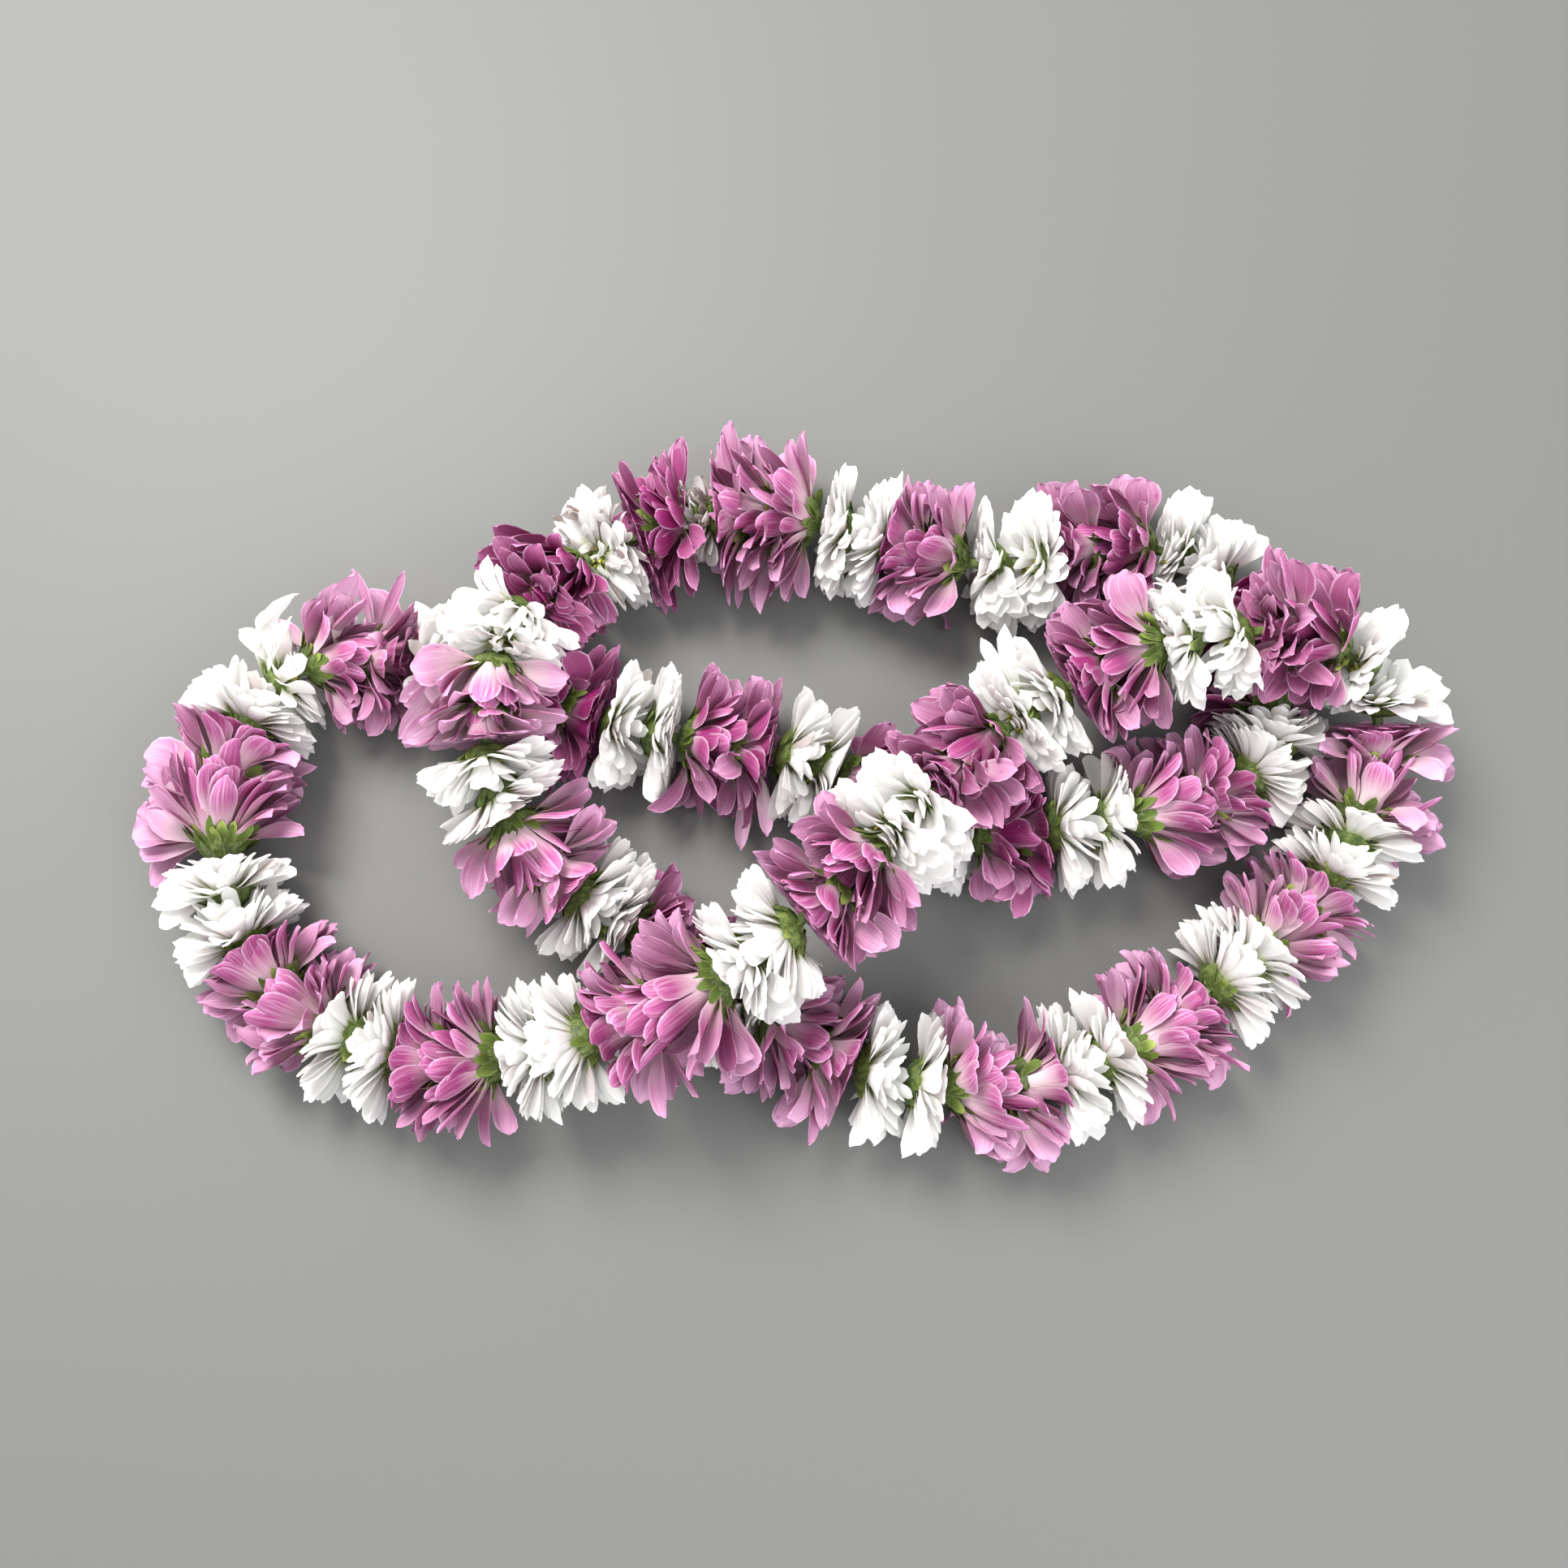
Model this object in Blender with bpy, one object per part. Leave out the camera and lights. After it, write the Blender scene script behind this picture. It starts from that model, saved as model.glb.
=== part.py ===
"""A fresh flower lei lying on a table, in metres.

One knotted string carries 56 sections, white and mauve in turn. Each section is two blooms of a spray
chrysanthemum, strung through their calyxes, and its petals fan out from the string in layers.
A place on the lei is given as (bloom, radius, angle): blooms counted along the string, the distance from
the string, and the turn round it from the strand's left side.
"""

import bpy
import numpy as np

MM = 0.001
SEED = 7
TURN = 2 * np.pi

SECTIONS = 56
BLOOMS_PER_SECTION = 2
BLOOMS = SECTIONS * BLOOMS_PER_SECTION

# The string's route in millimetres, at the middle of every white section, in the order of stringing.
BACK_ARCH = [(130, 80, 17), (69, 78, 19), (11, 91, 19), (-35, 93, 19), (-67, 81, 20)]
LEFT_CROSSING = [(-93, 47, 39), (-95, -3, 38), (-61, -40, 19), (-18, -67, 17)]
FRONT_RIGHT = [(31, -92, 19), (92, -87, 19), (140, -56, 19), (176, -18, 19)]
RIGHT_END = [(182, 35, 33), (126, 44, 46), (73, 22, 35)]
DIAGONAL = [(30, -17, 48), (-15, -58, 48), (-77, -83, 29)]
LEFT_END = [(-135, -81, 19), (-182, -35, 19), (-171, 36, 19)]
MIDDLE = [(-110, 38, 17), (-49, 20, 18), (5, 10, 18), (50, -11, 16), (94, -10, 19), (153, 15, 18)]
ROUTE = np.array(
    BACK_ARCH + LEFT_CROSSING + FRONT_RIGHT + RIGHT_END + DIAGONAL + LEFT_END + MIDDLE, float
) * MM
BLOOMS_PER_POINT = BLOOMS / len(ROUTE)

# String and the hole it runs in. The knot sits in a pocket before the first section.
STRING_RADIUS = 0.75 * MM
BORE_RADIUS = 1.12 * MM
CORE_SIDES = 5
SECTION_GAP = 0.035
KNOT_POCKET = 0.26
KNOT_RINGS = [(0.22, 0.75 * MM), (0.17, 1.9 * MM), (0.09, 1.9 * MM), (0.04, 0.75 * MM)]

# What stops a petal: the table, the inside of a bend and the other strands.
TABLE_GAP = 0.4 * MM
BEND_SHARE = 0.68
STRAND_MARGIN = 0.8 * MM
SAME_STRAND_BLOOMS = 5
OPEN_REACH = 60 * MM
SQUASH_FROM = 0.55
STRAND_SAMPLES = np.arange(0, BLOOMS, 0.25)
STEP = 0.05
SMALL = 1e-6

# A layer's rim along one petal, from its valley round to the next one, as (share of the petal's angle,
# radius, blooms forward of the calyx's back). A kind of bloom has its calyx's widest ring, its layers with
# the number of petals in each, and the ring inside each layer.
CALYX_BACK = 4.2 * MM
WHITE_OUTER = [(0.0, 12.5 * MM, 0.43), (0.24, 23.0 * MM, 0.40), (0.76, 23.0 * MM, 0.62)]
WHITE_INNER = [(0.0, 9.5 * MM, 0.76), (0.5, 17.5 * MM, 1.02)]
MAUVE_OUTER = [
    (0.0, 13.0 * MM, 0.68),
    (0.26, 22.0 * MM, 0.97),
    (0.5, 26.5 * MM, 1.14),
    (0.74, 22.0 * MM, 0.97),
]
MAUVE_INNER = [(0.0, 8.5 * MM, 0.88), (0.28, 15.5 * MM, 1.20), (0.72, 15.5 * MM, 1.20)]
WHITE = {
    "calyx": (0.34, 7.5 * MM),
    "layers": [(10, WHITE_OUTER), (6, WHITE_INNER)],
    "roots": [(0.52, 6.2 * MM), (0.70, 4.6 * MM)],
}
MAUVE = {
    "calyx": (0.30, 7.0 * MM),
    "layers": [(6, MAUVE_OUTER), (6, MAUVE_INNER)],
    "roots": [(0.48, 6.0 * MM), (0.72, 4.6 * MM)],
}
LENGTH_SPREAD = (0.86, 1.08)
FORWARD_SPREAD = 0.04

# Sections with one petal folded flat on the table, on which the lei rests, and that petal's stations
# outward from the string: (distance, underside, top, half width).
RESTING_SECTIONS = (3, 7, 19, 23, 38, 41)
RESTING_PETAL = [
    (0.5 * MM, 14.0 * MM, 16.4 * MM, 1.8 * MM),
    (4.5 * MM, 3.0 * MM, 4.6 * MM, 3.2 * MM),
    (8.5 * MM, 0.0 * MM, 1.1 * MM, 4.2 * MM),
    (15.0 * MM, 0.0 * MM, 0.9 * MM, 4.2 * MM),
    (19.0 * MM, 0.0 * MM, 0.8 * MM, 1.8 * MM),
]


def clear_scene():
    for obj in list(bpy.data.objects):
        bpy.data.objects.remove(obj, do_unlink=True)


def material(name, colour, roughness):
    """A plain Principled material."""
    made = bpy.data.materials.new(name)
    made.use_nodes = True
    shader = made.node_tree.nodes["Principled BSDF"]
    shader.inputs["Base Color"].default_value = (*colour, 1.0)
    shader.inputs["Roughness"].default_value = roughness
    shader.inputs["Metallic"].default_value = 0.0
    made.diffuse_color = (*colour, 1.0)
    return made


def spline_bend():
    """Second differences of the closed cubic spline through the route's points."""
    ones = np.eye(len(ROUTE))
    matrix = 4 * ones + np.roll(ones, 1, axis=0) + np.roll(ones, -1, axis=0)
    return np.linalg.solve(
        matrix, 6 * (np.roll(ROUTE, -1, axis=0) - 2 * ROUTE + np.roll(ROUTE, 1, axis=0))
    )


ROUTE_BEND = spline_bend()


def string_point(bloom):
    """The string's centre at each bloom coordinate."""
    place = np.mod(np.asarray(bloom, float) / BLOOMS_PER_POINT, len(ROUTE))
    first = np.floor(place).astype(int) % len(ROUTE)
    second = (first + 1) % len(ROUTE)
    ahead = (place - np.floor(place))[..., None]
    behind = 1 - ahead
    return (
        behind * ROUTE[first]
        + ahead * ROUTE[second]
        + ((behind**3 - behind) * ROUTE_BEND[first] + (ahead**3 - ahead) * ROUTE_BEND[second]) / 6
    )


def unit(vectors):
    return vectors / np.linalg.norm(vectors, axis=-1, keepdims=True)


def string_frame(bloom):
    """Centre, direction of travel, left side, upper side and bend (1/radius, towards its centre)."""
    before, centre, after = (string_point(bloom + step) for step in (-STEP, 0.0, STEP))
    speed = np.linalg.norm(after - before, axis=-1, keepdims=True) / (2 * STEP)
    forward = unit(after - before)
    left = unit(np.cross((0.0, 0.0, 1.0), forward))
    bend = (after - 2 * centre + before) / (STEP * speed) ** 2
    return centre, forward, left, np.cross(forward, left), bend


STRANDS = string_point(STRAND_SAMPLES)


def limit(distance, closing):
    """How far to go in a direction that closes the distance at this rate."""
    return np.where(closing > SMALL, distance / np.maximum(closing, SMALL), OPEN_REACH)


def reach(bloom, centre, outward, bend):
    """How far from the string there is room in each outward direction."""
    table = limit(centre[:, 2] - TABLE_GAP, -outward[:, 2])
    bent = limit(np.full(len(bloom), BEND_SHARE), np.sum(bend * outward, axis=1))
    apart = STRANDS[None] - centre[:, None]
    distance = np.linalg.norm(apart, axis=2)
    closing = np.einsum("ijk,ik->ij", apart, outward) / np.maximum(distance, MM)
    along = np.abs(np.mod(bloom[:, None] - STRAND_SAMPLES + BLOOMS / 2, BLOOMS) - BLOOMS / 2)
    other = limit(distance / 2 - STRAND_MARGIN, closing)
    other = np.where(along > SAME_STRAND_BLOOMS, other, OPEN_REACH).min(axis=1)
    return np.minimum(np.minimum(table, bent), np.minimum(other, OPEN_REACH))


def squashed(radius, room):
    """The radius, pressed in smoothly where it nears the room's edge."""
    knee = SQUASH_FROM * room
    over = np.maximum(radius - knee, 0.0) / (room - knee)
    return np.minimum(radius, knee) + (room - knee) * over / np.cbrt(1 + over**3)


def points_at(rows):
    """The points of (bloom, radius, angle) rows."""
    bloom, radius, angle = np.asarray(rows, float).T
    centre, _, left, upper, bend = string_frame(bloom)
    outward = np.cos(angle)[:, None] * left + np.sin(angle)[:, None] * upper
    room = reach(bloom, centre, outward, bend)
    return centre + squashed(radius, room)[:, None] * outward


def core_ring(bloom, radius):
    return [(bloom, radius, TURN * side / CORE_SIDES) for side in range(CORE_SIDES)]


def petal_rim(start, layer, phase, rng):
    """The rim of one layer of petals, each with its own length and lean."""
    count, outline = layer
    rows = []
    for petal in range(count):
        length = rng.uniform(*LENGTH_SPREAD)
        lean = rng.uniform(-FORWARD_SPREAD, FORWARD_SPREAD)
        for share, radius, forward in outline:
            own = length if share else 1.0
            rows.append((start + forward + lean, radius * own, TURN * (petal + share + phase) / count))
    return rows


def bloom_rings(start, kind, rng):
    """Rings from a calyx's back to its front, out and in round each layer of petals."""
    forward, radius = kind["calyx"]
    phase = rng.uniform(0.0, 1.0)
    rings = [core_ring(start, CALYX_BACK), core_ring(start + forward, radius)]
    for number, (layer, root) in enumerate(zip(kind["layers"], kind["roots"])):
        rings.append(petal_rim(start, layer, phase + number / 2, rng))
        rings.append(core_ring(start + root[0], root[1]))
    return rings


def by_angle(ring, angles):
    """The ring's vertices in the order of their angles, closed, and those angles."""
    turned = sorted(ring, key=lambda vertex: angles[vertex] % TURN)
    at = [angles[vertex] % TURN for vertex in turned]
    return turned + turned[:1], at + [at[0] + TURN]


def stitch(ring, following, angles):
    """Triangles between two rings of vertex numbers, zipped by their angles."""
    one, one_at = by_angle(ring, angles)
    two, two_at = by_angle(following, angles)
    faces = []
    i = j = 0
    while i < len(ring) or j < len(following):
        one_left, two_left = i < len(ring), j < len(following)
        if one_left and (not two_left or one_at[i] + one_at[i + 1] <= two_at[j] + two_at[j + 1]):
            faces.append((one[i], one[i + 1], two[j]))
            i += 1
        else:
            faces.append((one[i], two[j + 1], two[j]))
            j += 1
    return faces


def ring_mesh(rings, points_of):
    """Points and faces of a closed tube: each ring is stitched to the next and the last to the first."""
    rows = [row for ring in rings for row in ring]
    angles = [row[2] for row in rows]
    numbers = np.split(np.arange(len(rows)), np.cumsum([len(ring) for ring in rings])[:-1])
    faces = []
    for ring, following in zip(numbers, numbers[1:] + numbers[:1]):
        faces += stitch(ring.tolist(), following.tolist(), angles)
    return points_of(rings), faces


def add_object(name, points, faces, made_of):
    mesh = bpy.data.meshes.new(name)
    mesh.from_pydata([tuple(point) for point in points], [], faces)
    mesh.materials.append(made_of)
    obj = bpy.data.objects.new(name, mesh)
    bpy.context.scene.collection.objects.link(obj)
    return obj


def straight_ring(bloom, radius):
    """A ring of the string or of its hole, which run straight from one whole bloom to the next."""
    before = np.floor(bloom + SMALL)
    share = bloom - before
    ends = [points_at(core_ring(before + step, radius)) for step in (0, 1)]
    return (1 - share) * ends[0] + share * ends[1]


def section_mesh(section, kind, rng):
    """Two blooms fused at their calyxes, with the string's hole through them."""
    start = BLOOMS_PER_SECTION * section - 1
    gap = KNOT_POCKET if section == SECTIONS - 1 else SECTION_GAP
    end = start + BLOOMS_PER_SECTION - gap
    outside = []
    for bloom in range(BLOOMS_PER_SECTION):
        outside += bloom_rings(start + bloom, kind, rng)
    outside.append(core_ring(end, CALYX_BACK))
    bore = [core_ring(bloom, BORE_RADIUS) for bloom in (end, start + 1, start)]

    def points_of(rings):
        outer = [points_at(ring) for ring in rings[: -len(bore)]]
        inner = [straight_ring(ring[0][0], BORE_RADIUS) for ring in rings[-len(bore) :]]
        return np.concatenate(outer + inner)

    return ring_mesh(outside + bore, points_of)


def resting_petal_mesh(section):
    """A petal folded under the strand: it leaves the calyx, bends down and lies flat on the table."""
    centre, forward, left, _, _ = string_frame(float(BLOOMS_PER_SECTION * section))
    level = unit(forward * (1.0, 1.0, 0.0))
    base = centre * (1.0, 1.0, 0.0)
    points = []
    for distance, underside, top, half_width in RESTING_PETAL:
        for across, height in ((-1, underside), (1, underside), (1, top), (-1, top)):
            points.append(base + left * distance + level * half_width * across + (0.0, 0.0, height))
    faces = [(0, 1, 2), (0, 2, 3)]
    last = len(points) - 4
    faces += [(last, last + 2, last + 1), (last, last + 3, last + 2)]
    for ring in range(len(RESTING_PETAL) - 1):
        for side in range(4):
            a, b = 4 * ring + side, 4 * ring + (side + 1) % 4
            faces += [(a, a + 4, b + 4), (a, b + 4, b)]
    return points, faces


def join_resting_petal(obj, section, made_of):
    petal = add_object(f"resting_petal_{section + 1:02d}", *resting_petal_mesh(section), made_of)
    petal.hide_render = True
    union = obj.modifiers.new("resting_petal", "BOOLEAN")
    union.operation = "UNION"
    union.solver = "MANIFOLD"
    union.object = petal


def build_sections(materials):
    rng = np.random.default_rng(SEED)
    for section in range(SECTIONS):
        colour, kind = (("white", WHITE), ("mauve", MAUVE))[section % 2]
        name = f"section_{section + 1:02d}_{colour}"
        obj = add_object(name, *section_mesh(section, kind, rng), materials[colour])
        if section in RESTING_SECTIONS:
            join_resting_petal(obj, section, materials[colour])


def build_string(made_of):
    """The closed string, with its knot in the pocket before the first section."""
    rings = [core_ring(float(bloom), STRING_RADIUS) for bloom in range(BLOOMS - 1)]
    rings += [core_ring(BLOOMS - 1 - back, radius) for back, radius in KNOT_RINGS]
    rings.append(core_ring(BLOOMS - 1.0, STRING_RADIUS))

    def points_of(all_rings):
        return np.concatenate([straight_ring(ring[0][0], ring[0][1]) for ring in all_rings])

    add_object("string", *ring_mesh(rings, points_of), made_of)


def main():
    clear_scene()
    materials = {
        "white": material("white_petals", (0.88, 0.88, 0.84), 0.6),
        "mauve": material("mauve_petals", (0.50, 0.13, 0.38), 0.6),
    }
    build_sections(materials)
    build_string(material("cotton_string", (0.80, 0.76, 0.66), 0.9))


main()
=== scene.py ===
"""Looks of a fresh flower lei: petals, calyxes and string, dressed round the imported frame.

The string's route, and what stops a petal, are the CAD part's own. A place on the lei is (bloom, radius,
angle): blooms counted along the string, the distance from it, and the turn round it from the left side.
A petal is first laid out in millimetres along, out from and round its bloom's axis, then set on the lei.
"""

from types import SimpleNamespace

import bpy
import numpy as np
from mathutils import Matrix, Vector


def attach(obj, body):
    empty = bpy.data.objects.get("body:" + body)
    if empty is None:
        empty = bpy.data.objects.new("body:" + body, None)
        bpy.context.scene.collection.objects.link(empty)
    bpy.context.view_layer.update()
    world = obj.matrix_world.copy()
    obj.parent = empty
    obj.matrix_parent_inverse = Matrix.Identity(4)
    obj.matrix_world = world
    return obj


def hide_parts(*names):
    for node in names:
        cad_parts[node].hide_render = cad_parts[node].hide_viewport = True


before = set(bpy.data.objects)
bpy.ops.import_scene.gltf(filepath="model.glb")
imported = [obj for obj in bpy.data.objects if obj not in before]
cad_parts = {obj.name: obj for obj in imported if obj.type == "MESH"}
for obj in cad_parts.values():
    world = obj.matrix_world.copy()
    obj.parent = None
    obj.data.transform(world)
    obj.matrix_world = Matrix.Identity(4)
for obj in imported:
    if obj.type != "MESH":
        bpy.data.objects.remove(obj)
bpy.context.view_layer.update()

MM = 0.001
SEED = 11
TURN = 2 * np.pi
SMALL = 1e-6
LEAST_NORM = 1e-12

SECTIONS = 56
BLOOMS = 2 * SECTIONS
COLOURS = ("white", "mauve")

# The string's route in millimetres, at the middle of every white section, in the order of stringing.
BACK_ARCH = [(130, 80, 17), (69, 78, 19), (11, 91, 19), (-35, 93, 19), (-67, 81, 20)]
LEFT_CROSSING = [(-93, 47, 39), (-95, -3, 38), (-61, -40, 19), (-18, -67, 17)]
FRONT_RIGHT = [(31, -92, 19), (92, -87, 19), (140, -56, 19), (176, -18, 19)]
RIGHT_END = [(182, 35, 33), (126, 44, 46), (73, 22, 35)]
DIAGONAL = [(30, -17, 48), (-15, -58, 48), (-77, -83, 29)]
LEFT_END = [(-135, -81, 19), (-182, -35, 19), (-171, 36, 19)]
MIDDLE = [(-110, 38, 17), (-49, 20, 18), (5, 10, 18), (50, -11, 16), (94, -10, 19), (153, 15, 18)]
ROUTE = np.array(
    BACK_ARCH + LEFT_CROSSING + FRONT_RIGHT + RIGHT_END + DIAGONAL + LEFT_END + MIDDLE, float
) * MM
BLOOMS_PER_POINT = BLOOMS / len(ROUTE)

# What stops a petal: the inside of a bend and the other strands press it in, the table turns it aside.
BEND_SHARE = 0.68
SAME_STRAND_BLOOMS = 5
OPEN_REACH = 60 * MM
SQUASH_FROM = 0.55
STRAND_SAMPLES = np.arange(0, BLOOMS, 0.25)
STEP = 0.05
POINTS_AT_ONCE = 6000
TABLE_SOFTNESS = 1.1 * MM
SLIDE_SHARE = 0.8
SLIDE_FORWARD = 0.7


# ---- the strand

def spline_bend():
    """Second differences of the closed cubic spline through the route's points."""
    ones = np.eye(len(ROUTE))
    matrix = 4 * ones + np.roll(ones, 1, axis=0) + np.roll(ones, -1, axis=0)
    return np.linalg.solve(
        matrix, 6 * (np.roll(ROUTE, -1, axis=0) - 2 * ROUTE + np.roll(ROUTE, 1, axis=0))
    )


ROUTE_BEND = spline_bend()


def string_point(bloom):
    """The string's centre at each bloom coordinate."""
    place = np.mod(np.asarray(bloom, float) / BLOOMS_PER_POINT, len(ROUTE))
    first = np.floor(place).astype(int) % len(ROUTE)
    second = (first + 1) % len(ROUTE)
    ahead = (place - np.floor(place))[..., None]
    behind = 1 - ahead
    return (
        behind * ROUTE[first]
        + ahead * ROUTE[second]
        + ((behind**3 - behind) * ROUTE_BEND[first] + (ahead**3 - ahead) * ROUTE_BEND[second]) / 6
    )


def colour_of(section):
    """Sections are white and mauve in turn."""
    return COLOURS[section % 2]


def unit(vectors):
    """The same directions, each one unit long."""
    return vectors / np.maximum(np.linalg.norm(vectors, axis=-1, keepdims=True), LEAST_NORM)


def string_frame(bloom):
    """Centre, direction of travel, left side, upper side and bend (1/radius)."""
    before, centre, after = (string_point(bloom + step) for step in (-STEP, 0.0, STEP))
    speed = np.linalg.norm(after - before, axis=-1, keepdims=True) / (2 * STEP)
    forward = unit(after - before)
    left = unit(np.cross((0.0, 0.0, 1.0), forward))
    bend = (after - 2 * centre + before) / (STEP * speed) ** 2
    return centre, forward, left, np.cross(forward, left), bend


def string_pitch(bloom):
    """The string's length from one bloom to the next."""
    return np.linalg.norm(string_point(bloom + 0.5) - string_point(bloom - 0.5))


STRANDS = string_point(STRAND_SAMPLES)


def limit(distance, closing):
    """How far to go in a direction that closes the distance at this rate."""
    return np.where(closing > SMALL, distance / np.maximum(closing, SMALL), OPEN_REACH)


def reach(bloom, centre, outward, bend, mingle):
    """How far from the string there is room in each outward direction.

    Mingle is how far each point may cross the middle between two strands."""
    bent = limit(np.full(len(bloom), BEND_SHARE), np.sum(bend * outward, axis=1))
    apart = STRANDS[None] - centre[:, None]
    distance = np.linalg.norm(apart, axis=2)
    closing = np.einsum("ijk,ik->ij", apart, outward) / np.maximum(distance, MM)
    along = np.abs(np.mod(bloom[:, None] - STRAND_SAMPLES + BLOOMS / 2, BLOOMS) - BLOOMS / 2)
    other = limit(distance / 2 + mingle[:, None], closing)
    other = np.where(along > SAME_STRAND_BLOOMS, other, OPEN_REACH).min(axis=1)
    return np.minimum(np.minimum(bent, other), OPEN_REACH)


def squashed(radius, room):
    """The radius, pressed in smoothly where it nears the room's edge."""
    knee = SQUASH_FROM * room
    over = np.maximum(radius - knee, 0.0) / (room - knee)
    return np.minimum(radius, knee) + (room - knee) * over / np.cbrt(1 + over**3)


def laid_on_table(points, forward, outward, gap):
    """Points that would go below their own height over the table slide aside and lie on it."""
    height = (points[:, 2] - gap) / TABLE_SOFTNESS
    lift = TABLE_SOFTNESS * (np.logaddexp(0.0, height) - height)
    aside = unit((outward + SLIDE_FORWARD * forward) * (1.0, 1.0, 0.0))
    moved = points + aside * (SLIDE_SHARE * lift)[:, None]
    moved[:, 2] = points[:, 2] + lift
    return moved


def some_points_at(bloom, radius, angle, gap, mingle):
    """Points in the frame for a flat list of places on the lei."""
    centre, forward, left, upper, bend = string_frame(bloom)
    outward = np.cos(angle)[:, None] * left + np.sin(angle)[:, None] * upper
    pressed = squashed(radius, reach(bloom, centre, outward, bend, mingle))
    return laid_on_table(centre + pressed[:, None] * outward, forward, outward, gap)


def points_at(bloom, radius, angle, gap, mingle=0.0):
    """Points in the frame for places on the lei, of any shape. Gap is each one's height on the table."""
    shape = np.shape(radius)
    flat = [np.broadcast_to(value, shape).ravel() for value in (bloom, radius, angle, gap, mingle)]
    parts = [
        some_points_at(*(value[start : start + POINTS_AT_ONCE] for value in flat))
        for start in range(0, flat[0].size, POINTS_AT_ONCE)
    ]
    return np.concatenate(parts).reshape(*shape, 3)


# ---- petals

# A layer of petals: how many, where they root (mm forward of the calyx's back, mm from the string), the
# lean forward from straight out at the root, the bend towards the front by the tip and the further bend
# of the tip itself (degrees), the length and the width (mm). The layer's lean also says how near the
# bloom's heart it grows, where HEART_LEAN is the heart itself.
WHITE_LAYERS = [
    (23, 4.4, 6.0, 8, -6, -14, 17.6, 5.7),
    (21, 5.0, 5.4, 17, -6, -12, 17.4, 5.7),
    (18, 5.8, 4.8, 27, -8, -8, 16.4, 5.6),
    (12, 6.4, 4.2, 40, -12, 0, 14.6, 5.4),
    (7, 7.0, 3.4, 58, -14, 0, 12.0, 5.0),
]
MAUVE_LAYERS = [
    (13, 4.0, 6.4, 15, -6, -10, 19.5, 8.8),
    (14, 4.6, 5.8, 27, -6, -8, 20.5, 8.8),
    (13, 5.4, 5.0, 39, -8, -4, 21.0, 8.4),
    (11, 6.2, 4.2, 50, -8, 4, 20.0, 8.0),
    (8, 7.2, 3.4, 61, -12, 10, 17.0, 7.4),
]
PETAL_LAYERS = {"white": WHITE_LAYERS, "mauve": MAUVE_LAYERS}
HEART_LEAN = 60.0
LEAST_LEAN = -6.0
# Millimetres forward are counted at this spacing of the blooms, and stretch with the real one. The next
# section's calyx stops a section's petals this far ahead.
USUAL_PITCH = 14.5
FRONT = {"white": 12.5, "mauve": 16.5}
OPEN_FRONT = 60.0
# The outline: the claw's share of the width, where it is widest, how blunt the tip is, how it rounds off
# across and how deep its notches are. Then the cup across, the grooves and the thickness in mm, and how
# far a petal rolls about its midrib, in degrees: upwards on the strand's sides, and at random. Last come
# the spreads of the lean and of the tip's bend, how far the rims ripple, how far the petals on top of the
# strand fall forward, and how unlike each other the petals are.
WHITE_FORM = SimpleNamespace(
    claw=0.44, widest=0.60, blunt=4.2, round=0.06, notch=0.024, cup=0.12, groove=0.04, thick=0.34,
    face_up=56.0, roll=6.0, lean=4.0, tip=7.0, ripple=0.06, fall=10.0, unlike=0.5,
)
MAUVE_FORM = SimpleNamespace(
    claw=0.40, widest=0.60, blunt=2.8, round=0.05, notch=0.0, cup=0.20, groove=0.06, thick=0.36,
    face_up=50.0, roll=12.0, lean=11.0, tip=20.0, ripple=0.18, fall=27.0, unlike=1.0,
)
BRACT_FORM = SimpleNamespace(
    claw=0.80, widest=0.42, blunt=1.8, round=0.05, notch=0.0, cup=-0.34, groove=0.0, thick=0.60,
    face_up=0.0, roll=8.0, lean=6.0, tip=10.0, ripple=0.05, fall=6.0, unlike=1.0,
)
PETAL_FORMS = {"white": WHITE_FORM, "mauve": MAUVE_FORM}
# How unlike the petals are: the turn as a share of the space between two, the twist and the bend in degrees,
# and the rest as shares. A far random number lies further out than usual, for the odd stray petal.
TURN_SPREAD = 0.26
TWIST_SPREAD = 11.0
CURL_SPREAD = 12.0
SWEEP_SPREAD = 0.07
LENGTH_SPREAD = 0.09
WIDTH_SPREAD = 0.12
PALE_SPREAD = 0.10
STRAY_NEAR, STRAY_FAR = 0.75, 0.40
# Lowest and highest: shares of the form's cup and bluntness, and mm over the table and past the middle
# between two strands.
CUP_SHARES = (0.4, 1.5)
BLUNT_SHARES = (0.6, 1.3)
TABLE_GAPS = (0.3, 2.6)
MINGLING = (-1.0, 3.5)
# A petal's grid and midrib: rows and columns, how much closer the rows lie near the tip, where the last one
# is, the steps that the midrib is summed in and how late the tip's own bend comes.
PETAL_GRID = (7, 5)
ROW_CLOSENESS = 1.9
TIP_ROW = 0.992
FINE_STEPS = 40
HOOK_POWER = 4
# Its surface: the tip's width in the outline, waves across in the notches and the grooves, the cup's level
# and how it fades at both ends, the ripple's waves along (radians), and how fast the grooves and the
# roll come on from the claw.
TIP_WIDTH = 0.06
NOTCH_WAVES = 1.5
GROOVE_WAVES = 1.5
CUP_LEVEL = 0.35
CUP_ENDS = (0.05, 0.95)
CUP_FADE = 0.7
RIPPLE_WAVES = 7
GROOVE_ONSET = 4
ROLL_ONSET = 3


def outline_width(along, form, blunt):
    """Half the width's share at each place along a petal, from its claw to its blunt or pointed tip."""
    rise = np.clip(along / form.widest, 0, 1)
    rise = rise * rise * (3 - 2 * rise)
    fall = np.clip((along - form.widest) / (1 - form.widest), 0, 1)
    tip = TIP_WIDTH + (1 - TIP_WIDTH) * np.sqrt(1 - fall**blunt)
    return (form.claw + (1 - form.claw) * rise) * tip


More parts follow.
